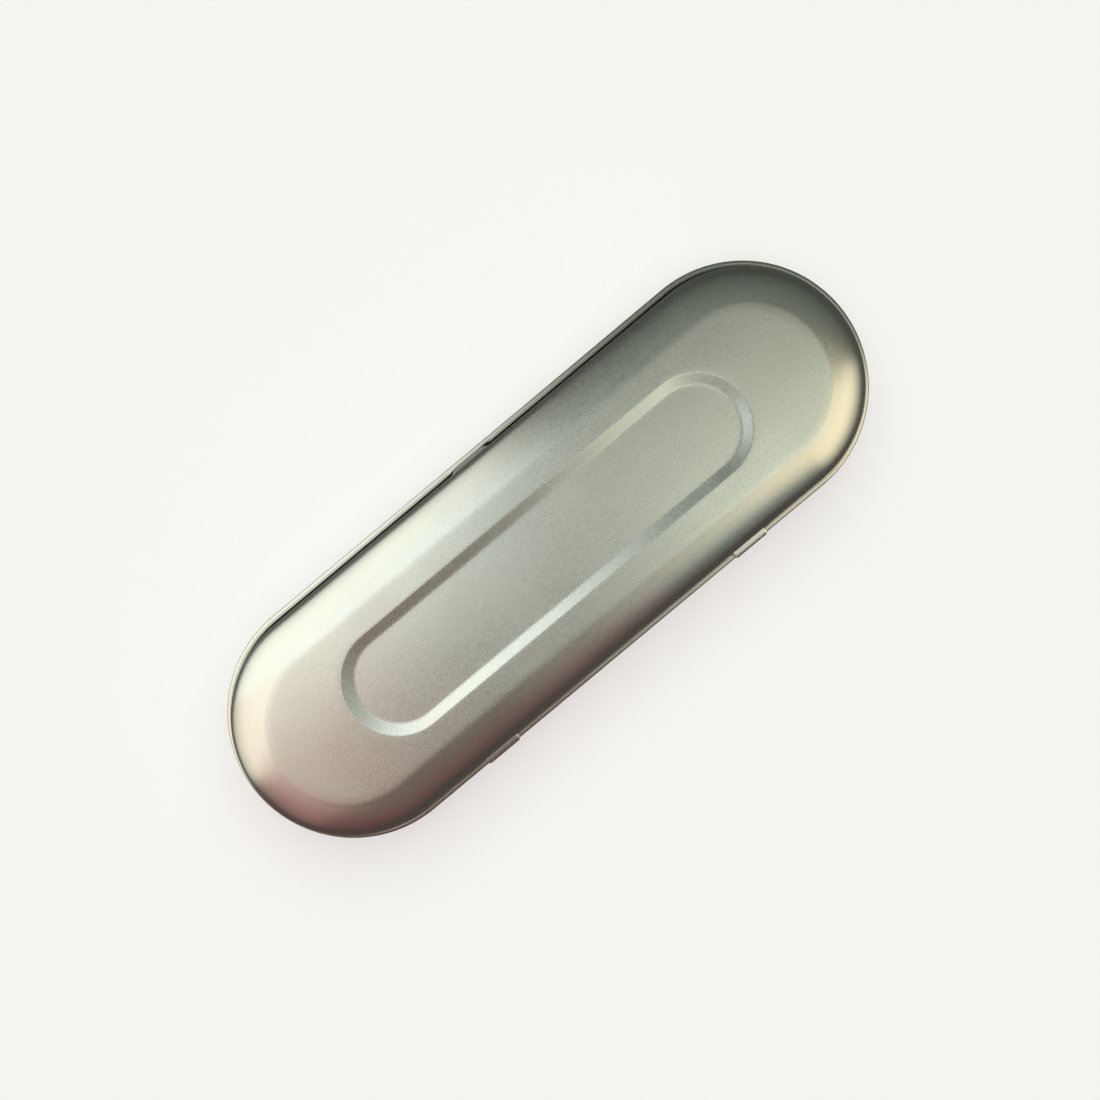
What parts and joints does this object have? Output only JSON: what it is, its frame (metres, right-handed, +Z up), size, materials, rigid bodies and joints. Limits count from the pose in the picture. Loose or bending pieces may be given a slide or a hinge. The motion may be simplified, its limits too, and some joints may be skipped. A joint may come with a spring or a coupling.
{
  "type": "hinged tin case",
  "caption": "Stadium-shaped tinplate case with a hinged domed lid, a sunk racetrack panel, a rolled rim and a small thumb tab.",
  "frame": {"origin": "centre of the flat bottom, midway between the rounded ends", "axes": "+Z up through the lid, +X along the case, +Y towards the hinge, so the thumb tab is at -Y"},
  "size_m": [0.17, 0.0568, 0.0295],
  "materials": {
    "base_tinplate": "satin tinplate",
    "lid_tinplate": "satin tinplate with a fine matt grain",
    "steel_wire": "drawn steel wire"
  },
  "bodies": {
    "base": {"base_pan": "base_tinplate", "hinge_wire": "steel_wire"},
    "lid": {"lid": "lid_tinplate"}
  },
  "joints": [
    {"name": "lid_hinge", "type": "hinge", "parent": "base", "child": "lid", "pos_m": [0, 0.02755, 0.0143], "axis": [-1, 0, 0], "range_deg": [0, 120]}
  ]
}
